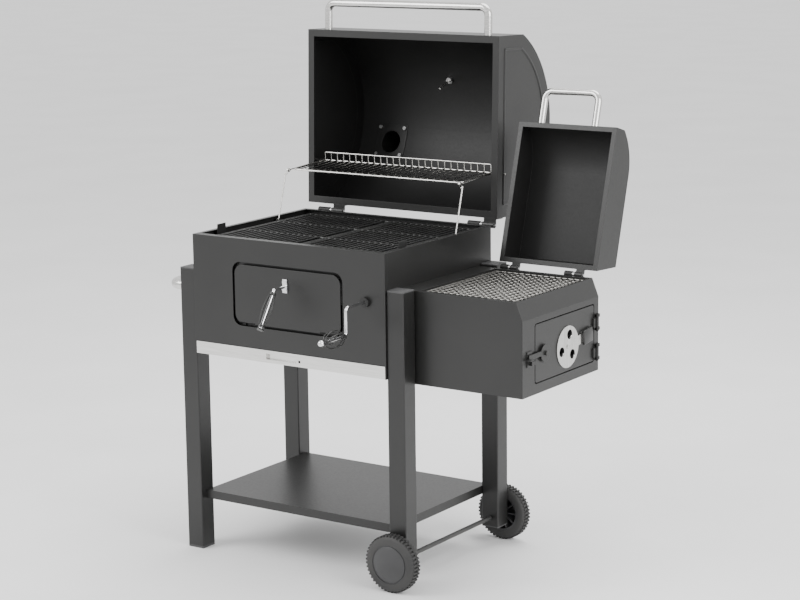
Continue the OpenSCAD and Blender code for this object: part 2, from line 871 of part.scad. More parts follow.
module lid_hinge_tabs() {
    color(body_color) lid_open_place()
        for (x = lid_hinges) hinge_tab(x, lid_y2, lid_axis_y, lid_axis_z, hinge_w, lid_z, 40);
}

// Screws of the handle and the chimney, and the thermometer's nut, inside the lid
module lid_bolts() {
    color(steel_color) lid_open_place() {
        for (x = [lid_handle_in, body_w - lid_handle_in]) {
            rod_y(x, lid_y1, lid_z + lid_handle_up, sheet + 1, bolt_d);
            rod_y(x, lid_y1 + sheet, lid_z + lid_handle_up, 4, bolt_d * 1.8);
        }
        at_flange_bolts() {
            translate([0, 0, -9]) cylinder(h = 12, d = 5, $fn = round_fn);
            translate([0, 0, -8.2]) cylinder(h = 4, d = 10, $fn = round_fn);
        }
        on_arc(mid_x, gauge_lean) translate([0, 0, -sheet - 8.5]) difference() {
            cylinder(h = 8, d = 20, $fn = 6);
            translate([0, 0, -1]) cylinder(h = 10, d = 10, $fn = round_fn);
        }
    }
}

gauge_t = 16;
bezel = 4;
dial_z = gauge_t - 8;

module thermometer_case() {
    color(steel_color) lid_open_place() on_arc(mid_x, gauge_lean) difference() {
        union() {
            translate([0, 0, 0.3]) cylinder(h = gauge_t, d = gauge_d, $fn = round_fn);
            translate([0, 0, -sheet - 12]) cylinder(h = sheet + 13, d = 10, $fn = round_fn);
            translate([0, 0, -60]) cylinder(h = 60, d = 5, $fn = round_fn);
        }
        translate([0, 0, dial_z]) cylinder(h = 20, d = gauge_d - 2 * bezel, $fn = round_fn);
        translate([0, 0, dial_z - 4]) cylinder(h = 20, d = 2.4, $fn = round_fn);
    }
}

module thermometer_needle() {
    color([0.7, 0.1, 0.05]) lid_open_place() on_arc(mid_x, gauge_lean) {
        translate([0, 0, dial_z - 3.5]) cylinder(h = 7, d = 1.8, $fn = round_fn);
        translate([0, 0, dial_z + 1]) cylinder(h = 2, d = 7, $fn = round_fn);
        rotate([0, 0, 35]) translate([-1, -7, dial_z + 1.5]) cube([2, gauge_d / 2 - bezel, 1]);
    }
}

module thermometer_glass() {
    color([0.8, 0.88, 0.9, 0.35]) lid_open_place() on_arc(mid_x, gauge_lean)
        translate([0, 0, gauge_t - 2]) cylinder(h = 1.5, d = gauge_d - 2 * bezel, $fn = round_fn);
}

module chimney_pipe() {
    pin_x = chimney_x + chimney_d / 2 + damper_pin_out;
    top = chimney_z + chimney_l;
    inner = chimney_d - 2 * sheet;
    color(body_color) lid_open_place() difference() {
        union() {
            rod_z(chimney_x, chimney_y, chimney_z - 50, chimney_l + 50, chimney_d);
            translate([chimney_x, chimney_y - 7, top - 18]) cube([pin_x - chimney_x, 14, 16]);
            rod_z(pin_x, chimney_y, top - 18, 16, 14);
        }
        rod_z(chimney_x, chimney_y, chimney_z - 60, chimney_l + 70, inner);
        rod_z(pin_x, chimney_y, top - 30, 40, 6.6);
        along_x(chimney_x - flange_w, 2 * flange_w) translate([lid_mid_y, lid_z])
            circle(lid_h - 2 * sheet, $fn = 360);
    }
}

// Curved square plate against the lid's inside, round the chimney's hole
module chimney_flange() {
    half = flange_w / 2 / lid_h * 180 / PI;
    color(body_color) lid_open_place() difference() {
        translate([chimney_x - flange_w / 2, lid_mid_y, lid_z]) rotate([90, 0, 90])
            rotate([0, 0, 90 - chimney_lean - half]) linear_extrude(flange_w) intersection() {
                difference() {
                    circle(lid_h - sheet, $fn = 360);
                    circle(lid_h - 2 * sheet, $fn = 360);
                }
                polygon([[0, 0], [2 * lid_h, 0], [2 * lid_h * cos(2 * half), 2 * lid_h * sin(2 * half)]]);
            }
        rod_z(chimney_x, chimney_y, chimney_z - 60, 120, chimney_d);
        at_flange_bolts() translate([0, 0, -20]) cylinder(h = 40, d = 5, $fn = round_fn);
    }
}

damper_pin_out = 6;

// Cap over the chimney's mouth that swings aside on a pin beside the pipe
module chimney_damper() {
    z = chimney_z + chimney_l;
    x = chimney_x + chimney_d / 2 + damper_pin_out;
    color(body_color) lid_open_place() {
        rod_z(chimney_x, chimney_y, z + 0.5, 2.5, chimney_d);
        translate([chimney_x, chimney_y - 8, z + 0.5]) cube([chimney_d / 2 + damper_pin_out, 16, 2.5]);
        rod_z(x, chimney_y, z + 0.5, 2.5, 16);
        rod_z(x, chimney_y, z - 22, 23, 6);
        rod_z(x, chimney_y, z - 22, 3.5, 10);
    }
}

// ---- warming rack ----

module warming_rack() {
    x1 = rack_x;
    x2 = body_w - rack_x;
    n = floor((x2 - x1) / rack_pitch);
    color(steel_color)
        translate([0, rack_p[0], rack_p[1]]) rotate([rack_tilt, 0, 0]) {
            // rear pivot rod through the lid's sides
            rod_x(-lid_over - 8, 0, 0, body_w + 2 * lid_over + 16, rack_rod_d);
            rod_x(x1 - rack_rod_d / 2, -rack_l + 14, 0, x2 - x1 + rack_rod_d, rack_rod_d, wire_fn);
            for (i = [0 : n]) {
                x = x1 + i * (x2 - x1) / n;
                rod_y(x, -rack_l + 14, 0, rack_l - 10, wire_d - 1, wire_fn);
                rod_z(x, 0, 0, fence_h, wire_d - 1, wire_fn);
            }
            rod_x(x1, 0, fence_h, x2 - x1, wire_d, wire_fn);
            // eyes for the legs' pins
            for (x = [rack_leg_x + 6, body_w - rack_leg_x - 10])
                difference() {
                    union() {
                        rod_x(x, -rack_l, 0, 4, 2 * rack_eye_r);
                        translate([x, -rack_l + 4, -1.5]) cube([4, rack_l - 4, 3]);
                    }
                    rod_x(x - 1, -rack_l, 0, 6, rack_rod_d + 2 * rack_play);
                }
        }
}

module rack_legs() {
    color(steel_color)
        for (side = [0, 1])
            translate([side * body_w, 0, 0]) mirror([side, 0, 0])
                translate([rack_leg_x, rack_f[0], rack_f[1]]) rotate([-rack_lean, 0, 0]) difference() {
                    union() {
                        translate([0, 0, 4])
                            cylinder(h = rack_link - 4.5, d = rack_rod_d - 1, $fn = round_fn);
                        rod_x(-2.9, 0, 0, 5.8, 2 * rack_eye_r);
                        rod_x(-2.6, 0, rack_link, 16.6, rack_rod_d);
                    }
                    rod_x(-rack_rod_d, 0, 0, 2 * rack_rod_d, rack_rod_d + 2 * rack_play);
                }
}

// ---- fuel door ----

door_hinges_x = [door_x + door_hinge_in, door_x + door_w - door_hinge_in - knuckle_l];

module fuel_door() {
    x = door_x + door_gap;
    z = door_z + door_gap;
    w = door_w - 2 * door_gap;
    h = door_h - 2 * door_gap;
    inset = door_lip + 6;
    color(body_color) difference() {
        union() {
            along_y(0, panel_t - 0.4) translate([x, z]) round_rect(w, h, door_r);
            block([door_x + inset, panel_t - 0.5, door_z + inset + 4],
                [door_x + door_w - inset, panel_d + 2, door_z + door_h - inset]);
            for (hx = door_hinges_x) {
                rod_x(hx, door_axis_y, door_axis_z, knuckle_l, knuckle_d);
                block([hx, panel_t - 0.6, door_axis_z], [hx + knuckle_l, door_axis_y, door_axis_z + 4]);
            }
        }
        // notches in the lower edge, in front of the hinges
        for (hx = door_hinges_x)
            block([hx - 12, -1, z - 1], [hx + knuckle_l + 12, panel_t - 0.4 + eps, door_axis_z]);
        for (hx = door_hinges_x) rod_x(hx - 1, door_axis_y, door_axis_z, knuckle_l + 2, pin_d + 0.6);
        block([door_x + inset + 2, panel_t + 1.5, door_z + inset + 6],
            [door_x + door_w - inset - 2, 20, door_z + door_h - inset - 2]);
        rod_y(handle_x, -1, handle_z, 10, pin_d + 0.6);
    }
}

end_hinges_z = [ed_z1 + 12, ed_z1 + 88];

// Fixed leaves and pins of both doors' hinges
module door_hinges() {
    color(inside_color) {
        for (hx = door_hinges_x) {
            for (x = [hx - 10.5, hx + knuckle_l + 0.5]) {
                rod_x(x, door_axis_y, door_axis_z, 10, knuckle_d);
                block([x, door_axis_y + 1.5, door_z + 1], [x + 10, panel_d, door_axis_z]);
            }
            rod_x(hx - 11.5, door_axis_y, door_axis_z, knuckle_l + 23, pin_d);
        }
        for (hz = end_hinges_z) {
            for (z = [hz - 8.5, hz + knuckle_l + 0.5]) {
                rod_z(ed_axis_x, ed_axis_y, z, 8, knuckle_d);
                block([fb_x2, ed_axis_y, z], [ed_axis_x - 1.5, fb_y2, z + 8]);
            }
            rod_z(ed_axis_x, ed_axis_y, hz - 10, knuckle_l + 20, pin_d);
        }
    }
}

// Frame of the leaning grip, its Z along the grip away from the elbow
module at_grip() {
    translate([handle_x, -handle_out, handle_z])
        rotate([-handle_lean, 0, 0]) rotate([180, 0, 0]) children();
}

module fuel_door_handle() {
    color(steel_color) {
        // plate with two washers, spindle and the arm that holds the grip
        block([handle_x - 7, -4, handle_z - 15], [handle_x + 7, -1, handle_z + 20]);
        for (dz = [-8, 12]) rod_y(handle_x, -6, handle_z + dz, 3, 13);
        rod_y(handle_x, -2, handle_z, tongue_y + 6, pin_d);
        rod_y(handle_x, -handle_out, handle_z, handle_out - 3, rod_d);
        translate([handle_x, -handle_out, handle_z]) sphere(d = rod_d + 1.5, $fn = 48);
        at_grip() cylinder(h = handle_l - 4, d = rod_d, $fn = round_fn);
        // tongue inside the door, turned away from upright while released
        translate([handle_x, tongue_y, handle_z]) rotate([0, -tongue_rest, 0])
            block([-5, 0, -6], [5, 3, tongue_l]);
    }
}

module fuel_door_grip() {
    color(inside_color) at_grip() {
        translate([0, 0, 8]) cage(handle_l - 16, 14, rod_d, 6);
        translate([0, 0, handle_l - 4]) cylinder(h = 4, d = 18, $fn = round_fn);
    }
}

// ---- crank ----

// Quarter bend of a rod in the plane of Y and Z, from the angle start
module bend_yz(x, y, z, r, d, start) {
    translate([x, y, z]) rotate([90, 0, 90]) rotate([0, 0, start])
        rotate_extrude(angle = 90, $fn = round_fn) translate([r, 0]) circle(d = d, $fn = round_fn);
}

module crank_rod() {
    y = -crank_out;
    low = crank_z - crank_arm;
    color(steel_color) {
        rod_y(crank_x, y + bend_r, crank_z, crank_out - bend_r + pinion_y + pinion_w, rod_d);
        bend_yz(crank_x, y + bend_r, crank_z - bend_r, bend_r, rod_d, 90);
        rod_z(crank_x, y, low + bend_r, crank_arm - 2 * bend_r, rod_d);
        bend_yz(crank_x, y - bend_r, low + bend_r, bend_r, rod_d, -90);
        rod_y(crank_x, y - bend_r - grip_l - 6, low, grip_l + 6, rod_d);
        translate([crank_x, y - bend_r - grip_l - 10, low]) sphere(d = ball_d, $fn = 48);
    }
}

module crank_grip() {
    color(inside_color)
        translate([crank_x, -crank_out - bend_r, crank_z - crank_arm]) rotate([90, 0, 0])
            cage(grip_l, grip_r, rod_d, 8);
}

function involute(r) = tan(acos(base_r / r)) * 180 / PI - acos(base_r / r);
tooth_half = 90 / pinion_teeth - tooth_play / 4 / pitch_r * 180 / PI;
function flank(r) = tooth_half + involute(pitch_r) - involute(r);
function polar(r, a) = [r * cos(a), r * sin(a)];
flank_rs = [for (i = [0 : 4]) base_r + (tip_r - base_r) * i / 4];

module pinion_outline() {
    polygon([for (i = [0 : pinion_teeth - 1])
        let (a = 180 + i * 360 / pinion_teeth)
        each concat(
            [polar(root_r, a - flank(base_r) - 0.5)],
            [for (r = flank_rs) polar(r, a - flank(r))],
            [for (j = [4 : -1 : 0]) polar(flank_rs[j], a + flank(flank_rs[j]))],
            [polar(root_r, a + flank(base_r) + 0.5)])]);
}

module lift_pinion() {
    color(steel_color) difference() {
        along_y(pinion_y, pinion_w) translate([crank_x, crank_z]) pinion_outline();
        rod_y(crank_x, pinion_y - 1, crank_z, pinion_w + 2, rod_d);
    }
}

// Toothed bar beside the pinion, fixed to the tray's front wall
module lift_rack() {
    x = crank_x - pitch_r;
    z1 = crank_z - tray_lift - bar_over;
    z2 = crank_z + tray_lift + bar_over;
    half = tooth_step / 4 - tooth_play / 4;
    dedendum = 1.25 * gear_module;
    count = floor((tray_lift + bar_over - 4) / tooth_step);
    color(steel_color) {
        along_y(pinion_y, pinion_w) {
            translate([x - bar_w, z1]) square([bar_w - dedendum, z2 - z1]);
            for (k = [-count : count - 1])
                translate([x, crank_z + (k + 0.5) * tooth_step])
                    polygon([
                        [-dedendum - eps, -half - dedendum * tan(pressure)],
                        [gear_module, -half + gear_module * tan(pressure)],
                        [gear_module, half - gear_module * tan(pressure)],
                        [-dedendum - eps, half + dedendum * tan(pressure)]]);
        }
        block([x - bar_w, pinion_y, tray_z], [x - dedendum, tray_y1, z1 + eps]);
        block([x - bar_w - 12, tray_y1 - 3, tray_z], [x - dedendum, tray_y1, tray_z + tray_h]);
    }
}

module charcoal_tray() {
    x2 = body_w - tray_x;
    slots = 9;
    slot_w = 8;
    gap = (tray_y2 - tray_y1 - 60) / (slots - 1);
    color(inside_color) {
        difference() {
            block([tray_x, tray_y1, tray_z], [x2, tray_y2, tray_z + tray_h]);
            block([tray_x + sheet, tray_y1 + sheet, tray_z + sheet],
                [x2 - sheet, tray_y2 - sheet, tray_z + tray_h + 1]);
            for (i = [0 : slots - 1], side = [0, 1])
                translate([side * (mid_x - tray_x - 30) + tray_x + 40,
                    tray_y1 + 30 + i * gap - slot_w / 2, tray_z - 1])
                    cube([mid_x - tray_x - 50, slot_w, sheet + 2]);
        }
        for (side = [0, 1], y = [guide_y1, guide_y2])
            translate([side * body_w, 0, 0]) mirror([side, 0, 0]) difference() {
                block([guide_x - guide_d / 2 - 5, y - guide_d, tray_z + 8],
                    [tray_x + eps, y + guide_d, tray_z + 8 + eye_t]);
                rod_z(guide_x, y, tray_z, 30, guide_d + guide_play);
            }
    }
}

// ---- ash drawer ----

pan_z = body_z + rail_t + 0.4;

module ash_pan() {
    x1 = sheet + rail_t + pan_play;
    x2 = body_w - x1;
    y2 = body_d - sheet - 20;
    color(body_color) difference() {
        block([x1, drawer_front_d, pan_z], [x2, y2, pan_z + pan_h]);
        block([x1 + sheet, drawer_front_d + sheet, pan_z + sheet],
            [x2 - sheet, y2 - sheet, pan_z + pan_h + 1]);
    }
}

module ash_drawer_front() {
    x1 = sheet + 1;
    x2 = body_w - sheet - 1;
    z1 = body_z + 0.5;
    z2 = panel_z - 1.5;
    fold = 1.5;
    pull_z = (z1 + z2) / 2 - pull_h / 2;
    color(steel_color) difference() {
        union() {
            block([x1, 0, z1], [x2, fold, z2]);
            block([x1, 0, z2 - fold], [x2, drawer_front_d, z2]);
            block([x1, 0, z1], [x2, drawer_front_d, z1 + fold]);
            block([pull_x - fold, 0, pull_z - fold], [pull_x + pull_w + fold, 10, pull_z + pull_h + fold]);
        }
        block([pull_x, -1, pull_z], [pull_x + pull_w, 10 - fold, pull_z + pull_h]);
        block([pull_x + pull_w + 6, -1, pull_z + 2], [pull_x + pull_w + 12, fold + 1, pull_z + 8]);
    }
}

// ---- grates ----

// Cooking grate: round frame, wires front to back on support rods
module cooking_grate(x1, x2) {
    y1 = grate_y1;
    y2 = grate_y2;
    d = grate_rod_d;
    n = round((x2 - x1 - d) / wire_pitch);
    step = (x2 - x1 - d) / n;
    color(inside_color) {
        for (x = [x1 + d / 2, x2 - d / 2]) rod_y(x, y1, grate_z, y2 - y1, d, wire_fn);
        for (i = [0 : 3])
            rod_x(x1 + d / 2, y1 + d / 2 + i * (y2 - y1 - d) / 3, grate_z, x2 - x1 - d, d, wire_fn);
        for (i = [1 : n - 1])
            rod_y(x1 + d / 2 + i * step, y1 + 1, grate_z + d / 2, y2 - y1 - 2, wire_d, wire_fn);
    }
}

module cooking_grate_left() {
    cooking_grate(grate_x + grate_clearance / 2, mid_x - grate_clearance / 2);
}

module cooking_grate_right() {
    cooking_grate(mid_x + grate_clearance / 2, body_w - grate_x - grate_clearance / 2);
}

// ---- firebox ----

module firebox_outline(t) {
    // the slanted edge's inner line is moved square to the edge, like the sheet around it
    len = norm([slant_w, slant_h]);
    dz = t * (len - slant_h) / slant_w;
    dx = t * (len - slant_w) / slant_h;
    x1 = fb_x1 + t;
    x2 = fb_x2 - t;
    polygon([
        [x1, fb_z1 + t],
        [x2, fb_z1 + t],
        [x2, fb_z2 - slant_h - dz],
        [fb_x2 - slant_w - dx, fb_z2 - t],
        [x1, fb_z2 - t]]);
}

mesh_y1 = fb_y1 + fb_edge;
mesh_y2 = fb_y2 - fb_edge;

module firebox_shell() {
    z = fb_z2 - mesh_depth;
    color(body_color) difference() {
        union() {
            difference() {
                along_y(fb_y1, firebox_d) firebox_outline(0);
                along_y(fb_y1 + sheet, firebox_d - 2 * sheet) firebox_outline(sheet);
            }
            // pocket that carries the grate
            difference() {
                block([fb_open_x1 - sheet, mesh_y1 - sheet, z],
                    [fb_open_x2 + sheet, mesh_y2 + sheet, fb_z2 - eps]);
                block([fb_open_x1 + mesh_lip, mesh_y1 + mesh_lip, z - 1],
                    [fb_open_x2 - mesh_lip, mesh_y2 - mesh_lip, fb_z2 + 1]);
            }
        }
        block([fb_open_x1, mesh_y1, z + sheet], [fb_open_x2, mesh_y2, fb_z2 + 1]);
        block([fb_x2 - sheet, fb_y1 - 1, fb_z1 - 1], [fb_x2 + 1, fb_y2 + 1, fb_z2 - slant_h]);
        rod_x(fb_x1 - 1, fb_mid_y, smoke_z, sheet + 2, smoke_d);
    }
}

module firebox_end_plate() {
    x = fb_x2 - sheet;
    hook_y = ed_y1 - 28;
    color(body_color) {
        difference() {
            block([x, fb_y1, fb_z1], [fb_x2, fb_y2, fb_z2 - slant_h]);
            along_x(x - 1, sheet + 2) translate([ed_y1, ed_z1]) round_rect(end_door_w, end_door_h, ed_r);
        }
        // catch: a hook standing out beside the door
        block([fb_x2, hook_y - 10, latch_z - 22], [fb_x2 + 2.5, hook_y + 12, latch_z + 16]);
        block([fb_x2, hook_y - 2, latch_z - 18], [latch_x + 7, hook_y + 1, latch_z - 8]);
        block([latch_x + 4.5, hook_y - 2, latch_z - 18], [latch_x + 7, hook_y + 12, latch_z - 8]);
    }
}

// Bars over the firebox's floor that hold the wood
module firebox_fuel_grate() {
    x1 = fb_x1 + 10;
    x2 = fb_x2 - 14;
    y1 = fb_y1 + 10;
    y2 = fb_y2 - 10;
    bars = 8;
    color(inside_color) {
        for (i = [0 : bars - 1])
            rod_x(x1, y1 + 12 + i * (y2 - y1 - 24) / (bars - 1), fuel_grate_z, x2 - x1, 8, wire_fn);
        for (x = [x1 + 25, x2 - 25]) {
            rod_y(x, y1, fuel_grate_z - 5, y2 - y1, 8, wire_fn);
            for (y = [y1 + 5, y2 - 5])
                rod_z(x, y, fb_z1 + sheet, fuel_grate_z - fb_z1 - sheet - 5, 8, wire_fn);
        }
    }
}

module firebox_grate() {
    c = grate_clearance / 2;
    x1 = fb_open_x1 + c;
    x2 = fb_open_x2 - c;
    y1 = mesh_y1 + c;
    y2 = mesh_y2 - c;
    d = wire_d;
    z = fb_z2 - mesh_depth + sheet + d / 2;
    nx = round((x2 - x1 - d) / mesh_pitch);
    ny = round((y2 - y1 - d) / mesh_cross_pitch);
    w = d - 1;
    color(wire_color) translate([0, 0, z - d / 2]) linear_extrude(d - 1) {
        for (y = [y1, y2 - d]) translate([x1, y]) square([x2 - x1, d]);
        for (x = [x1, x2 - d]) translate([x, y1]) square([d, y2 - y1]);
        for (i = [1 : nx - 1])
            translate([x1 + d / 2 - w / 2 + i * (x2 - x1 - d) / nx, y1 + 1]) square([w, y2 - y1 - 2]);
        for (i = [1 : ny - 1])
            translate([x1 + 1, y1 + d / 2 - w / 2 + i * (y2 - y1 - d) / ny]) square([x2 - x1 - 2, w]);
    }
}

// Outline of the firebox's lid in Y and Z, closed, drawn inwards by t
module firebox_lid_outline(t) {
    z1 = fb_lid_z - (t > 0 ? 1 : 0);
    z2 = fb_lid_z + firebox_lid_h - t;
    r = firebox_lid_r;
    centre_z = fb_lid_z + firebox_lid_h - r;
    rise = fb_lid_z + firebox_lid_front_h - centre_z;
    run = sqrt(r * r - rise * rise);
    slope = tan(firebox_lid_lean);
    y_rear = fb_lid_y2 - t / cos(firebox_lid_lean);
    intersection() {
        translate([fb_lid_y1 + run, centre_z]) circle(r - t, $fn = 240);
        translate([fb_lid_y1 + t, z1]) square([run - t + 1, z2 - z1]);
    }
    polygon([
        [fb_lid_y1 + run, z1],
        [y_rear - (z1 - fb_lid_z) * slope, z1],
        [y_rear - (z2 - fb_lid_z) * slope, z2],
        [fb_lid_y1 + run, z2]]);
}

module firebox_lid_place() {
    opened(fb_axis_y, fb_axis_z, firebox_lid_open) children();
}

module firebox_lid() {
    w = fb_lid_x2 - fb_lid_x1;
    rim = 13;
    color(body_color) firebox_lid_place() {
        difference() {
            along_x(fb_lid_x1, w) firebox_lid_outline(0);
            along_x(fb_lid_x1 + sheet, w - 2 * sheet) firebox_lid_outline(sheet);
            for (side = [-1, 1])
                rod_y(fb_handle_mid + side * fb_handle_w / 2, fb_lid_y1 - 5, fb_lid_z + 30, 20, bolt_d);
        }
        difference() {
            block([fb_lid_x1 + 1, fb_lid_y1 + 1, fb_lid_z],
                [fb_lid_x2 - 1, fb_lid_y2 - 1, fb_lid_z + sheet]);
            block([fb_lid_x1 + rim, fb_lid_y1 + rim, fb_lid_z - 1],
                [fb_lid_x2 - rim, fb_lid_y2 - rim, fb_lid_z + 10]);
        }
        for (x = fb_hinges) hinge_tab(x, fb_lid_y2 - 3, fb_axis_y, fb_axis_z, fb_hinge_w, fb_lid_z, 12);
    }
}

module firebox_lid_handle() {
    color(steel_color) firebox_lid_place()
        translate([fb_handle_mid - fb_handle_w / 2, fb_lid_y1, fb_lid_z + 30]) {
            u_handle(fb_handle_w, firebox_handle_out, lid_handle_d - 3, handle_bend);
            for (x = [0, fb_handle_w]) {
                rod_y(x, -1, 0, sheet + 2, bolt_d);
                rod_y(x, sheet, 0, 4, bolt_d * 1.8);
            }
        }
}

// ---- end door of the firebox ----

module firebox_door() {
    g = ed_gap;
    x = fb_x2 - sheet;
    color(body_color) difference() {
        union() {
            along_x(x, sheet) translate([ed_y1 + g, ed_z1 + g])
                round_rect(end_door_w - 2 * g, end_door_h - 2 * g, ed_r - g / 2);
            for (hz = end_hinges_z) {
                rod_z(ed_axis_x, ed_axis_y, hz, knuckle_l, knuckle_d);
                block([fb_x2 + 0.5, ed_axis_y - 16, hz], [ed_axis_x - 1, ed_axis_y, hz + knuckle_l]);
                block([fb_x2 - eps, ed_axis_y - 16, hz], [fb_x2 + 0.6, ed_y2 - g - 1, hz + knuckle_l]);
            }
        }
        for (hz = end_hinges_z) rod_z(ed_axis_x, ed_axis_y, hz - 1, knuckle_l + 2, pin_d + 0.6);
        for (i = [0 : 2])
            damper_hole(i, x - 1, sheet + 2);
        rod_x(x - 1, damper_y, damper_z, 8, pin_d);
        rod_x(x - 1, latch_y, latch_z, 8, bolt_d);
    }
}

module damper_hole(i, x, l) {
    a = 75 + i * 120;
    rod_x(x, damper_y + damper_ring * cos(a), damper_z + damper_ring * sin(a), l, damper_hole_d);
}

module firebox_damper() {
    x = damper_x;
    color(steel_color) {
        difference() {
            union() {
                rod_x(x, damper_y, damper_z, damper_t, damper_d);
                translate([x, damper_y, damper_z]) rotate([damper_arm, 0, 0])
                    block([0, damper_d / 2 - 9, -12], [damper_t, damper_d / 2 + 24, 12]);
            }
            for (i = [0 : 2]) damper_hole(i, x - 1, damper_t + 2);
        }
        // rivet and grip
        rod_x(fb_x2 - sheet - 2, damper_y, damper_z, sheet + damper_t + 2.5, pin_d - 0.6);
        rod_x(x + damper_t - 0.5, damper_y, damper_z, 2.5, 11);
        translate([x, damper_y, damper_z]) rotate([damper_arm, 0, 0])
            block([-0.2, damper_d / 2 + 20, -17], [7, damper_d / 2 + 62, 17]);
    }
}

// Lever that turns on the door and drops behind the catch
module firebox_latch() {
    x = latch_x;
    color(body_color) {
        rod_x(fb_x2 - sheet - 4, latch_y, latch_z, latch_x - fb_x2 + sheet + 8, bolt_d - 0.4);
        rod_x(fb_x2 + 0.4, latch_y, latch_z, latch_x - fb_x2 - 0.3, 12);
        rod_x(x + 2, latch_y, latch_z, 5, bolt_d * 1.9);
        rod_x(x, latch_y, latch_z, 2.5, 44);
        block([x, latch_y - 78, latch_z - 4], [x + 2.5, latch_y, latch_z + 8]);
        block([x, latch_y - 88, latch_z - 4], [x + 12, latch_y - 76, latch_z - 1]);
    }
}

// ---- assembly ----

module placed() {
    translate([-(x_min + x_max) / 2, -(y_min + y_max) / 2, 0]) children();
}

placed() leg(-leg_size, leg_y1, foot_h, false);  // leg_front_left
placed() leg(-leg_size, leg_y2, foot_h, false);  // leg_rear_left
placed() leg(body_w, leg_y1, right_leg_z, true);  // leg_front_right
placed() leg(body_w, leg_y2, right_leg_z, true);  // leg_rear_right
placed() leg_end_caps();
placed() bottom_shelf();
placed() frame_bolts();
placed() side_handle();
placed() axle();
placed() axle_fittings();
placed() tyre(wheel_y1);  // tyre_front
placed() tyre(wheel_y2);  // tyre_rear
placed() capped_rim(wheel_y1, wheel_y1, 1);  // wheel_rim_front
placed() capped_rim(wheel_y2, wheel_y2 + wheel_w, -1);  // wheel_rim_rear
placed() grill_tub();
placed() tub_front();
placed() tub_floor();
placed() tub_rim();
placed() front_panel();
placed() body_fittings();
placed() hinge_brackets();
placed() drawer_rails();
placed() crank_bush();
placed() tray_guides();
placed() firebox_shell();
placed() firebox_end_plate();
placed() firebox_fuel_grate();
placed() lid_wrap();
placed() lid_sides();
placed() lid_rim();
placed() lid_handle();
placed() lid_hinge_tabs();
placed() lid_bolts();
placed() thermometer_case();
placed() thermometer_needle();
placed() thermometer_glass();
placed() chimney_pipe();
placed() chimney_flange();
placed() chimney_damper();
placed() warming_rack();
placed() rack_legs();
placed() fuel_door();
placed() door_hinges();
placed() fuel_door_handle();
placed() fuel_door_grip();
placed() crank_rod();
placed() crank_grip();
placed() lift_pinion();
placed() charcoal_tray();
placed() lift_rack();
placed() ash_pan();
placed() ash_drawer_front();
placed() cooking_grate_left();
placed() cooking_grate_right();
placed() firebox_lid();
placed() firebox_lid_handle();
placed() firebox_grate();
placed() firebox_door();
placed() firebox_latch();
placed() firebox_damper();
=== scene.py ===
import math

import bmesh
import bpy
from mathutils import Matrix, Vector


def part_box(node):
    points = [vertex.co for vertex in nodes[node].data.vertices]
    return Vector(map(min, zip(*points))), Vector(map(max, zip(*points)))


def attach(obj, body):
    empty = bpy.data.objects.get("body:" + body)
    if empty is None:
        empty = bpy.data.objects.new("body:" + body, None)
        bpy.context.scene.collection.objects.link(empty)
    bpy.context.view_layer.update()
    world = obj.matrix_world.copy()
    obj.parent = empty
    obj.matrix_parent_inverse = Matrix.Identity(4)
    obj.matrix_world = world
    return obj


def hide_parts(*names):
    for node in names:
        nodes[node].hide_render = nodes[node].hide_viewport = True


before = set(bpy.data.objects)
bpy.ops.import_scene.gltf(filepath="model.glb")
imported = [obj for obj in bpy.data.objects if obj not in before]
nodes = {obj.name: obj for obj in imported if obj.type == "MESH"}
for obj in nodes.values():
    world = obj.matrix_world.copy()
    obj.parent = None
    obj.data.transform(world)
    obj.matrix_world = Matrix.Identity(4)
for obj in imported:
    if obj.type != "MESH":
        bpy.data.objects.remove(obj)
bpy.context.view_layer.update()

# ---- Cart: legs, shelf, end caps and the axle's fittings ----
# Square steel tube with a thin sheet shelf between, all powder-coated black before
# it is bolted together. The tube ends are closed with pressed-in plastic caps.

corner = Vector((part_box("grill_tub")[0][0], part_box("front_panel")[0][1], 0))


def spot(x, y, z):
    """A place in millimetres from the grill body's left front corner, on the floor."""
    return corner + Vector((x, y, z)) / 1000


def new_material(name, metallic, **sockets):
    material = bpy.data.materials.new(name)
    material.use_nodes = True
    tree = material.node_tree
    shader = tree.nodes["Principled BSDF"]
    shader.inputs["Metallic"].default_value = metallic
    for socket, value in sockets.items():
        shader.inputs[socket.replace("_", " ")].default_value = value
    return material, tree, shader


def noise(tree, scale, detail=3.0, stretch=(1, 1, 1)):
    """Noise on the piece's own coordinates, stretched where the surface is brushed."""
    place = tree.nodes.new("ShaderNodeTexCoord")
    mapping = tree.nodes.new("ShaderNodeMapping")
    mapping.inputs["Scale"].default_value = stretch
    texture = tree.nodes.new("ShaderNodeTexNoise")
    texture.inputs["Scale"].default_value = scale
    texture.inputs["Detail"].default_value = detail
    tree.links.new(place.outputs["Object"], mapping.inputs["Vector"])
    tree.links.new(mapping.outputs["Vector"], texture.inputs["Vector"])
    return texture.outputs["Fac"]


def spread(tree, value, low, high, start=0.3, end=0.7):
    step = tree.nodes.new("ShaderNodeMapRange")
    step.inputs["From Min"].default_value = start
    step.inputs["From Max"].default_value = end
    step.inputs["To Min"].default_value = low
    step.inputs["To Max"].default_value = high
    tree.links.new(value, step.inputs["Value"])
    return step.outputs["Result"]


def blend_colours(tree, value, colours):
    ramp = tree.nodes.new("ShaderNodeValToRGB")
    ramp.color_ramp.elements[0].position = 0.32
    ramp.color_ramp.elements[1].position = 0.68
    ramp.color_ramp.elements[0].color = (*colours[0], 1)
    ramp.color_ramp.elements[1].color = (*colours[1], 1)
    tree.links.new(value, ramp.inputs["Fac"])
    return ramp.outputs["Color"]


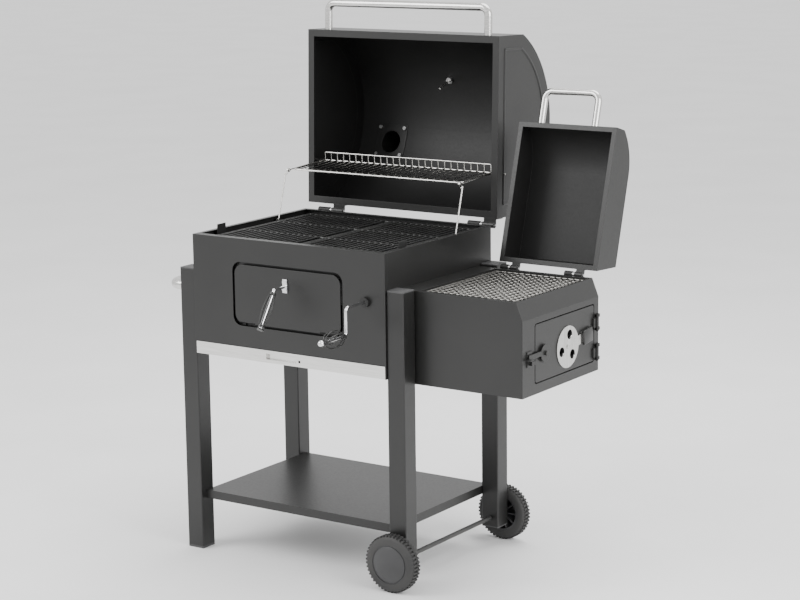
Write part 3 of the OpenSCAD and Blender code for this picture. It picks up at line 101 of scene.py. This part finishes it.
def bumps(tree, shader, value, strength, distance, edge=0.0):
    bump = tree.nodes.new("ShaderNodeBump")
    bump.inputs["Strength"].default_value = strength
    bump.inputs["Distance"].default_value = distance
    tree.links.new(value, bump.inputs["Height"])
    if edge:
        bevel = tree.nodes.new("ShaderNodeBevel")
        bevel.samples = 4
        bevel.inputs["Radius"].default_value = edge
        tree.links.new(bevel.outputs["Normal"], bump.inputs["Normal"])
    tree.links.new(bump.outputs["Normal"], shader.inputs["Normal"])


def coating(name, dark, light, rough, grain, edge=0.0012):
    """Baked powder coat: faint cloudiness, orange-peel grain and softened edges."""
    material, tree, shader = new_material(name, 0.0, Specular_IOR_Level=0.5)
    tree.links.new(blend_colours(tree, noise(tree, 9), (dark, light)), shader.inputs["Base Color"])
    tree.links.new(spread(tree, noise(tree, 160), rough - 0.025, rough + 0.03), shader.inputs["Roughness"])
    bumps(tree, shader, noise(tree, 750, 4), grain, 0.0005, edge)
    return material


powder_coat = coating("satin_powder_coat", (0.0095, 0.0095, 0.0091), (0.0117, 0.0117, 0.0112), 0.38, 0.1)
cap_plastic = coating("cap_plastic", (0.045, 0.045, 0.046), (0.062, 0.062, 0.063), 0.55, 0.2)


def dress(material, *names):
    for name in names:
        mesh = nodes[name].data
        mesh.materials.clear()
        mesh.materials.append(material)


dress(powder_coat, "leg_front_left", "leg_rear_left", "leg_front_right", "leg_rear_right", "bottom_shelf")
dress(cap_plastic, "leg_end_caps")


def brushed(name, colours, rough, stretch, grain=0.08):
    """Stainless steel with fine grinding lines along one direction."""
    material, tree, shader = new_material(name, 1.0)
    lines = noise(tree, 12, 6, stretch)
    tree.links.new(blend_colours(tree, lines, colours), shader.inputs["Base Color"])
    tree.links.new(spread(tree, lines, rough - 0.07, rough + 0.1), shader.inputs["Roughness"])
    bumps(tree, shader, lines, grain, 0.0003)
    return material


steel_tones = ((0.5, 0.495, 0.48), (0.7, 0.695, 0.68))
bolt_steel = brushed("bolt_steel", ((0.42, 0.42, 0.42), (0.6, 0.6, 0.6)), 0.35, (20, 20, 20))
black_axle = coating("black_axle", (0.02, 0.02, 0.02), (0.035, 0.035, 0.034), 0.38, 0.05, 0)
dress(bolt_steel, "frame_bolts")
dress(black_axle, "axle", "axle_fittings")

# ---- Side handle ----
# One length of stainless tube bent at both ends and ground along its length,
# standing out from the two left legs.

tube_along_y = brushed("brushed_tube_along_depth", steel_tones, 0.24, (45, 1, 45))
dress(tube_along_y, "side_handle")

# ---- Wheels ----
# Moulded black plastic rims with hard rubber tyres. The tread is two rows of blocks
# set half a block apart; a smooth domed cap hides the axle's end.

wheel_plastic = coating("wheel_plastic", (0.024, 0.024, 0.025), (0.038, 0.038, 0.039), 0.42, 0.1)
rubber = coating("tyre_rubber", (0.02, 0.02, 0.02), (0.036, 0.035, 0.034), 0.62, 0.3, 0)
dress(wheel_plastic, "wheel_rim_front", "wheel_rim_rear")

tread_blocks = 46
block_h = 0.0042


def add_piece(name, bm, material, body, slot, *replaced):
    """Turns a finished bmesh into a piece that rides on a body."""
    bmesh.ops.recalc_face_normals(bm, faces=bm.faces)
    mesh = bpy.data.meshes.new(name)
    bm.to_mesh(mesh)
    bm.free()
    for face in mesh.polygons:
        face.use_smooth = True
    mesh.set_sharp_from_angle(angle=math.radians(38))
    mesh.materials.append(material)
    piece = bpy.data.objects.new(name, mesh)
    bpy.context.scene.collection.objects.link(piece)
    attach(piece, body)
    if replaced:
        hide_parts(*replaced)
    return piece


def make_tyre(name, node, body):
    low, high = (Vector(c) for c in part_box(node))
    hub = (low + high) / 2
    outer = (high.z - low.z) / 2
    half = (high.y - low.y) / 2
    bead = (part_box("wheel_rim_front")[1][2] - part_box("wheel_rim_front")[0][2]) / 2
    tread = outer - block_h
    shoulder = [(tread - 0.007, half), (tread - 0.002, half - 0.002), (tread, half - 0.0045)]
    outline = [(bead, -half), (bead + 0.003, -half)]
    outline += [(r, -y) for r, y in shoulder]
    outline += [(tread, 0)] + shoulder[::-1] + [(bead, half)]
    bm = bmesh.new()
    corners = [bm.verts.new(hub + Vector((0, y, r))) for r, y in outline]
    edges = [bm.edges.new((a, b)) for a, b in zip(corners, corners[1:] + corners[:1])]
    bmesh.ops.spin(bm, geom=corners + edges, cent=hub, axis=(0, 1, 0), angle=2 * math.pi,
                   steps=2 * tread_blocks, use_merge=True)
    blocks = []
    for face in bm.faces:
        middle = face.calc_center_median() - hub
        out = Vector((middle.x, 0, middle.z)).length
        if out > tread - 0.001:
            turn = math.atan2(middle.z, middle.x) / (2 * math.pi) * 2 * tread_blocks
            if (int(math.floor(turn)) + (middle.y > 0)) % 2:
                blocks.append(face)
    raised = bmesh.ops.extrude_discrete_faces(bm, faces=blocks)["faces"]
    for face in raised:
        middle = face.calc_center_median()
        for vert in face.verts:
            away = Vector((vert.co.x - hub.x, 0, vert.co.z - hub.z)).normalized()
            vert.co = middle.lerp(vert.co, 0.9) + away * block_h * 0.93
    return add_piece(name, bm, rubber, body, "tyre_black", node)


make_tyre("tyre_blocks_front", "tyre_front", "front_wheel")
make_tyre("tyre_blocks_rear", "tyre_rear", "rear_wheel")

# ---- Grill body, front panel and fuel door ----
# Folded sheet steel: an open tub, a panned front panel over it and a hinged door
# in the panel. The outside is satin powder coat, the fittings inside are heat-proof black.

heat_black = coating("heat_proof_black", (0.0035, 0.0035, 0.0033), (0.0055, 0.0054, 0.0052), 0.55, 0.25)
dress(powder_coat, "grill_tub", "tub_front", "tub_rim", "front_panel", "fuel_door")
dress(heat_black, "body_fittings", "tray_guides", "charcoal_tray", "lift_rack", "lift_pinion",
      "crank_bush", "door_hinges", "hinge_brackets", "tub_floor")


def line_inside(middle, *names):
    """Heat-proof black on the faces that look towards the middle of a hollow."""
    for name in names:
        mesh = nodes[name].data
        mesh.materials.append(heat_black)
        for face in mesh.polygons:
            if face.normal.dot(face.center - middle) < 0:
                face.material_index = 1


line_inside(spot(300, 251, 700), "grill_tub", "tub_front")

# ---- Ash drawer ----
# A sheet pan behind a folded strip of polished stainless steel with a recessed pull.
# The pan slides on two rails under the body.

drawer_steel = brushed("polished_drawer_steel", ((0.56, 0.555, 0.54), (0.76, 0.755, 0.74)), 0.16, (1, 60, 60))
dress(drawer_steel, "ash_drawer_front")
dress(powder_coat, "ash_pan", "drawer_rails")

# ---- Door handle and crank ----
# Bent chrome-plated rods. Each grip is a cage of black wires round the rod,
# which stays cool, with a polished end.

chrome, tree, shader = new_material("chrome_plate", 1.0)
plating = blend_colours(tree, noise(tree, 30), ((0.7, 0.7, 0.71), (0.82, 0.82, 0.83)))
tree.links.new(plating, shader.inputs["Base Color"])
tree.links.new(spread(tree, noise(tree, 90), 0.07, 0.17), shader.inputs["Roughness"])
bumps(tree, shader, noise(tree, 400), 0.02, 0.0003)
grip_black = coating("grip_black", (0.012, 0.012, 0.012), (0.022, 0.022, 0.021), 0.34, 0.05, 0)
dress(chrome, "fuel_door_handle", "crank_rod")
dress(grip_black, "fuel_door_grip", "crank_grip")

# ---- Cooking grates ----
# Two grates of round steel wire welded over cross rods in a rod frame,
# enamelled black. They lie side by side on the ledges and lift out.

enamel = coating("grate_enamel", (0.02, 0.02, 0.02), (0.034, 0.034, 0.033), 0.3, 0.08, 0)
grate_wire_r = 0.002
grate_rod_r = 0.003


def rod(bm, start, end, radius, sides=10):
    """A round bar between two points."""
    along = end - start
    turn = along.to_track_quat("Z", "Y").to_matrix().to_4x4()
    bmesh.ops.create_cone(bm, cap_ends=True, segments=sides, radius1=radius, radius2=radius,
                          depth=along.length, matrix=Matrix.Translation((start + end) / 2) @ turn)


def bend(bm, centre, start, axis, angle, radius, steps=8, sides=10):
    """A round bar bent about a centre, from the point start through an angle."""
    forward = Vector(axis).cross(start - centre)
    turn = forward.to_track_quat("Z", "Y").to_matrix().to_4x4()
    ring = bmesh.ops.create_circle(bm, cap_ends=False, segments=sides, radius=radius,
                                   matrix=Matrix.Translation(start) @ turn)["verts"]
    edges = list({e for v in ring for e in v.link_edges})
    bmesh.ops.spin(bm, geom=ring + edges, cent=centre, axis=axis, angle=angle, steps=steps)


grate_cells = 15
frame_bars = 4
for side in ("left", "right"):
    low, high = (Vector(c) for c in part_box(f"cooking_grate_{side}"))
    level = low.z + grate_rod_r
    bm = bmesh.new()
    for x in (low.x + grate_rod_r, high.x - grate_rod_r):
        rod(bm, Vector((x, low.y, level)), Vector((x, high.y, level)), grate_rod_r)
    for i in range(frame_bars):
        y = low.y + grate_rod_r + i * (high.y - low.y - 2 * grate_rod_r) / (frame_bars - 1)
        rod(bm, Vector((low.x, y, level)), Vector((high.x, y, level)), grate_rod_r)
    for i in range(1, grate_cells):
        x = low.x + grate_rod_r + i * (high.x - low.x - 2 * grate_rod_r) / grate_cells
        rod(bm, Vector((x, low.y + 0.001, level + grate_rod_r)),
            Vector((x, high.y - 0.001, level + grate_rod_r)), grate_wire_r)
    add_piece(f"grate_wires_{side}", bm, enamel, f"{side}_grate", "heat_black", f"cooking_grate_{side}")

# ---- Main lid ----
# Rolled sheet steel between two pressed side plates, with a folded rim frame.
# It is hinged at the rear and stands open; a raised bead stiffens each side plate.

dress(powder_coat, "lid_wrap", "lid_sides", "lid_rim", "lid_hinge_tabs", "chimney_pipe", "chimney_damper",
      "chimney_flange")
dress(bolt_steel, "lid_bolts")
line_inside(spot(300, 600, 1080), "lid_wrap", "lid_sides")
lid_angle = -math.radians(91.8)
body_mid_x = 300
lid_axis_y = 507
lid_axis_z = 846
lid_mid_y = 253
lid_seat_z = 850
lid_arc_r = 266
lid_pin = spot(body_mid_x, lid_axis_y, lid_axis_z)
lid_turn = Matrix.Translation(lid_pin) @ Matrix.Rotation(lid_angle, 4, "X") @ Matrix.Translation(-lid_pin)
bead_in = 36
bead_r = 0.0036
bead_foot = 30
arc_r = lid_arc_r - bead_in
wall_y = 237 - bead_in
wall_h = math.sqrt(arc_r ** 2 - wall_y ** 2)
arc_angle = 2 * math.asin(wall_y / arc_r)
for name, x in (("lid_bead_right", 605), ("lid_bead_left", -5)):
    bm = bmesh.new()
    front_foot = spot(x, lid_mid_y - wall_y, lid_seat_z + bead_foot)
    rear_foot = spot(x, lid_mid_y + wall_y, lid_seat_z + bead_foot)
    front_top = spot(x, lid_mid_y - wall_y, lid_seat_z + wall_h)
    rear_top = spot(x, lid_mid_y + wall_y, lid_seat_z + wall_h)
    rod(bm, front_foot, front_top, bead_r)
    rod(bm, rear_foot, rear_top, bead_r)
    rod(bm, front_foot, rear_foot, bead_r)
    bend(bm, spot(x, lid_mid_y, lid_seat_z), front_top, (-1, 0, 0), arc_angle, bead_r, 40)
    side = spot(x, 0, 0)
    squash = Matrix.Translation(side) @ Matrix.Diagonal((0.6, 1, 1, 1)) @ Matrix.Translation(-side)
    bmesh.ops.transform(bm, matrix=lid_turn @ squash, verts=bm.verts)
    add_piece(name, bm, powder_coat, "lid", "paint_black")

# ---- Lid handles ----
# Stainless tube bent to a U and ground along its length, screwed on from inside
# the lid. The firebox lid has a smaller one.

tube_along_x = brushed("brushed_tube_along_width", steel_tones, 0.22, (1, 45, 45))
dress(tube_along_x, "lid_handle", "firebox_lid_handle")

# ---- Thermometer ----
# A steel case with a printed dial under glass on the outside of the lid;
# its probe and nut reach through to the inside.

gauge_steel = brushed("gauge_case_steel", steel_tones, 0.25, (18, 18, 18))
dress(gauge_steel, "thermometer_case")
needle_paint = coating("needle_paint", (0.45, 0.03, 0.02), (0.6, 0.05, 0.03), 0.35, 0.02, 0)
dress(needle_paint, "thermometer_needle")

glass, tree, shader = new_material("gauge_glass", 0.0, IOR=1.45, Transmission_Weight=1.0)
tint = blend_colours(tree, noise(tree, 20), ((0.93, 0.96, 0.96), (0.98, 1.0, 1.0)))
tree.links.new(tint, shader.inputs["Base Color"])
tree.links.new(spread(tree, noise(tree, 60), 0.01, 0.05), shader.inputs["Roughness"])
dress(glass, "thermometer_glass")

dial_lean = math.radians(22)
dial_out = Matrix.Translation((0, 0, lid_arc_r / 1000 + 0.0083))
arc_centre = Matrix.Translation(spot(body_mid_x, lid_mid_y, lid_seat_z))
dial_place = lid_turn @ arc_centre @ Matrix.Rotation(dial_lean, 4, "X") @ dial_out
dial_r = 0.0335
dial_face, tree, shader = new_material("dial_face", 0.0)
face_noise = noise(tree, 60)
paper = blend_colours(tree, face_noise, ((0.78, 0.77, 0.73), (0.86, 0.85, 0.82)))
attribute = tree.nodes.new("ShaderNodeAttribute")
attribute.attribute_name = "tick"
mix = tree.nodes.new("ShaderNodeMix")
mix.data_type = "RGBA"
tree.links.new(attribute.outputs["Fac"], mix.inputs[0])
tree.links.new(paper, mix.inputs[6])
mix.inputs[7].default_value = (0.02, 0.02, 0.02, 1)
tree.links.new(mix.outputs[2], shader.inputs["Base Color"])
tree.links.new(spread(tree, face_noise, 0.4, 0.55), shader.inputs["Roughness"])
bm = bmesh.new()
bmesh.ops.create_circle(bm, cap_ends=True, segments=120, radius=dial_r)
bmesh.ops.inset_region(bm, faces=bm.faces[:], thickness=0.003, use_even_offset=True)
core = [f for f in bm.faces if len(f.verts) > 4]
ticks = bmesh.ops.inset_region(bm, faces=core, thickness=0.005, use_even_offset=True)["faces"]
tick_layer = bm.faces.layers.float.new("tick")
for face in ticks:
    middle = face.calc_center_median()
    turn = math.degrees(math.atan2(middle.y, middle.x))
    if -230 < turn < 230 and int((turn + 181.5) // 3) % 4 == 0 and not -125 < turn < -55:
        face[tick_layer] = 1.0
bmesh.ops.transform(bm, matrix=dial_place, verts=bm.verts)
add_piece("dial_face", bm, dial_face, "lid", "steel")

# ---- Warming rack ----
# Plated steel wire: a shelf of wires with a low fence at the rear. It turns on a rod
# through the lid's sides, and two wire legs stand on studs in the grill body.

plated_wire = brushed("plated_wire", ((0.5, 0.49, 0.47), (0.68, 0.67, 0.65)), 0.22, (30, 30, 30))
rack_link = 137
rack_lean = math.radians(16)
rack_span = 162
rack_drop = 9
rack_rear = (lid_axis_y + rack_link * math.sin(rack_lean), lid_axis_z + rack_link * math.cos(rack_lean))
rack_front = (rack_rear[0] - rack_span, rack_rear[1] - rack_drop)
rack_turn = math.atan2(rack_drop, rack_span)
rack_depth = math.hypot(rack_drop, rack_span)
rack_left = 32
rack_right = 568
rack_wires = 27


def on_rack(x, back, up):
    """A place on the rack: back from its rear rod is negative towards the front."""
    y = rack_rear[0] + back * math.cos(rack_turn) - up * math.sin(rack_turn)
    z = rack_rear[1] + back * math.sin(rack_turn) + up * math.cos(rack_turn)
    return spot(x, y, z)


bm = bmesh.new()
front = 14 - rack_depth
loop = 12
rod(bm, on_rack(-11, 0, 0), on_rack(611, 0, 0), 0.0025)
rod(bm, on_rack(rack_left + loop, front, 0), on_rack(rack_right - loop, front, 0), 0.0025)
for x, sign in ((rack_left, 1), (rack_right, -1)):
    rod(bm, on_rack(x, front + loop, 0), on_rack(x, 0, 0), 0.0025)
    bend(bm, on_rack(x + sign * loop, front + loop, 0), on_rack(x, front + loop, 0),
         (0, -math.sin(rack_turn) * sign, math.cos(rack_turn) * sign), math.pi / 2, 0.0025)
for i in range(rack_wires):
    x = rack_left + i * (rack_right - rack_left) / (rack_wires - 1)
    if 0 < i < rack_wires - 1:
        rod(bm, on_rack(x, front + 4, 1.5), on_rack(x, 0, 1.5), 0.0015, 8)
        bend(bm, on_rack(x, front + 4, 5.5), on_rack(x, front + 4, 1.5), (-1, 0, 0), math.pi / 2, 0.0015, 4, 8)
    rod(bm, on_rack(x, 0, 0), on_rack(x, 0, 22), 0.0015, 8)
rod(bm, on_rack(rack_left, 0, 22), on_rack(rack_right, 0, 22), 0.002)
for x in (25, 575):
    rod(bm, on_rack(x - 2, -rack_depth, 0), on_rack(x + 2, -rack_depth, 0), 0.0055, 20)
    rod(bm, on_rack(x, -rack_depth + 4, 0), on_rack(x, 0, 0), 0.0016)
add_piece("rack_wires", bm, plated_wire, "rack", "wire_steel", "warming_rack")

bm = bmesh.new()
for x, sign in ((17, 1), (583, -1)):
    foot = spot(x, 345, 837)
    top = spot(x, rack_front[0], rack_front[1])
    rise = (top - foot).normalized()
    bmesh.ops.create_cone(bm, cap_ends=True, segments=20, radius1=0.0055, radius2=0.0055,
                          depth=0.0056, matrix=Matrix.Translation(foot) @ Matrix.Rotation(math.pi / 2, 4, "Y"))
    rod(bm, foot + rise * 0.004, top - rise * 0.005, 0.002)
    bend(bm, top - rise * 0.005 + Vector((sign * 0.005, 0, 0)), top - rise * 0.005,
         Vector((sign, 0, 0)).cross(-rise) * -1, math.pi / 2, 0.002)
    rod(bm, top + Vector((sign * 0.005, 0, 0)), top + Vector((sign * 0.014, 0, 0)), 0.0022)
add_piece("rack_leg_wires", bm, plated_wire, "rack_leg_pair", "wire_steel", "rack_legs")

# ---- Firebox ----
# A welded box of sheet steel beside the body, open to it inside, with a slanted edge,
# a bar grate for the wood and its own curved lid on two rear hinges.

dress(powder_coat, "firebox_shell", "firebox_end_plate", "firebox_lid", "firebox_door", "firebox_latch")
dress(heat_black, "firebox_fuel_grate")
line_inside(spot(785, 252, 650), "firebox_shell", "firebox_end_plate")
line_inside(spot(785, 560, 930), "firebox_lid")

# ---- Firebox grate ----
# Plain round wires welded crosswise into a mat, left in bright galvanised steel,
# which rests in the firebox's top opening.

galvanised = brushed("galvanised_wire", ((0.26, 0.255, 0.24), (0.44, 0.43, 0.41)), 0.36, (60, 60, 60))
low, high = (Vector(c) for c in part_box("firebox_grate"))
level = (low.z + high.z) / 2
bm = bmesh.new()
edge_r = 0.002
for y in (low.y + edge_r, high.y - edge_r):
    rod(bm, Vector((low.x, y, level)), Vector((high.x, y, level)), edge_r)
for x in (low.x + edge_r, high.x - edge_r):
    rod(bm, Vector((x, low.y, level)), Vector((x, high.y, level)), edge_r)
mat_wire_r = 0.0015
across = 15
for i in range(1, across):
    x = low.x + edge_r + i * (high.x - low.x - 2 * edge_r) / across
    rod(bm, Vector((x, low.y + 0.001, level + 0.001)), Vector((x, high.y - 0.001, level + 0.001)),
        mat_wire_r, 8)
deep = 19
for i in range(1, deep):
    y = low.y + edge_r + i * (high.y - low.y - 2 * edge_r) / deep
    rod(bm, Vector((low.x + 0.001, y, level - 0.0012)), Vector((high.x - 0.001, y, level - 0.0012)),
        mat_wire_r, 8)
add_piece("firebox_grate_wires", bm, galvanised, "side_grate", "wire_steel", "firebox_grate")

# ---- Damper on the end door ----
# A polished stainless disc with three air holes turns on a rivet in the door.
# A black grip keeps the fingers off the steel.

damper_steel = brushed("damper_steel", steel_tones, 0.22, (25, 25, 1))
dress(damper_steel, "firebox_damper")
damper_pin = spot(953, 273, 542 + 149 * 0.43)
bm = bmesh.new()
bmesh.ops.create_cube(bm, size=1, matrix=Matrix.Translation((0.0049, 0.0935, 0))
                      @ Matrix.Diagonal((0.0082, 0.0435, 0.0365, 1)))
bmesh.ops.bevel(bm, geom=bm.edges[:], offset=0.0025, segments=3, profile=0.5, affect="EDGES", material=-1)
arm_turn = Matrix.Rotation(math.radians(7), 4, "X")
bmesh.ops.transform(bm, matrix=Matrix.Translation(damper_pin) @ arm_turn, verts=bm.verts)
add_piece("damper_grip", bm, grip_black, "side_damper", "plastic_black")

# ---- Floor, light and camera ----
# A pale flat studio floor under a white world, three large soft lights and a long lens
# at standing height, from the right front.

floor_material, tree, shader = new_material("studio_floor", 0.0)
paint = blend_colours(tree, noise(tree, 2), ((0.86, 0.86, 0.86), (0.9, 0.9, 0.9)))
tree.links.new(paint, shader.inputs["Base Color"])
tree.links.new(spread(tree, noise(tree, 8), 0.6, 0.7), shader.inputs["Roughness"])
bm = bmesh.new()
bmesh.ops.create_grid(bm, x_segments=1, y_segments=1, size=30)
mesh = bpy.data.meshes.new("studio_floor")
bm.to_mesh(mesh)
bm.free()
mesh.materials.append(floor_material)
floor = bpy.data.objects.new("studio_floor", mesh)
bpy.context.scene.collection.objects.link(floor)

world = bpy.data.worlds.new("studio")
bpy.context.scene.world = world
world.use_nodes = True
world.node_tree.nodes["Background"].inputs["Color"].default_value = (1.0, 1.0, 1.0, 1)
world.node_tree.nodes["Background"].inputs["Strength"].default_value = 1.35


def soft_light(name, place, target, size, power):
    light = bpy.data.lights.new(name, "AREA")
    light.size = size
    light.energy = power
    lamp = bpy.data.objects.new(name, light)
    lamp.location = place
    lamp.rotation_euler = (Vector(target) - Vector(place)).to_track_quat("-Z", "Y").to_euler()
    bpy.context.scene.collection.objects.link(lamp)


soft_light("key_light", (-2.2, -2.8, 3.2), (0, 0, 0.7), 2.2, 100)
soft_light("side_light", (3.4, -0.6, 2.2), (0.2, 0, 0.7), 2.0, 90)
soft_light("top_light", (0.2, 1.2, 3.6), (0, 0, 0.8), 2.4, 90)

yaw = math.radians(34.88)
pitch = math.radians(11.27)
roll = math.radians(-0.85)
forward = Vector((-math.sin(yaw) * math.cos(pitch), math.cos(yaw) * math.cos(pitch), -math.sin(pitch)))
right = Vector((math.cos(yaw), math.sin(yaw), 0))
above = right.cross(forward)
side_axis = math.cos(roll) * right + math.sin(roll) * above
up_axis = -math.sin(roll) * right + math.cos(roll) * above
lens = bpy.data.cameras.new("camera")
lens.sensor_fit = "HORIZONTAL"
lens.sensor_width = 36
lens.lens = 99.45
lens.shift_x = 0.0324
lens.shift_y = 0.0039
camera = bpy.data.objects.new("camera", lens)
place = Matrix((side_axis, up_axis, -forward)).transposed().to_4x4()
place.translation = spot(3597.3, -4346.7, 1778.9)
camera.matrix_world = place
bpy.context.scene.collection.objects.link(camera)
bpy.context.scene.camera = camera
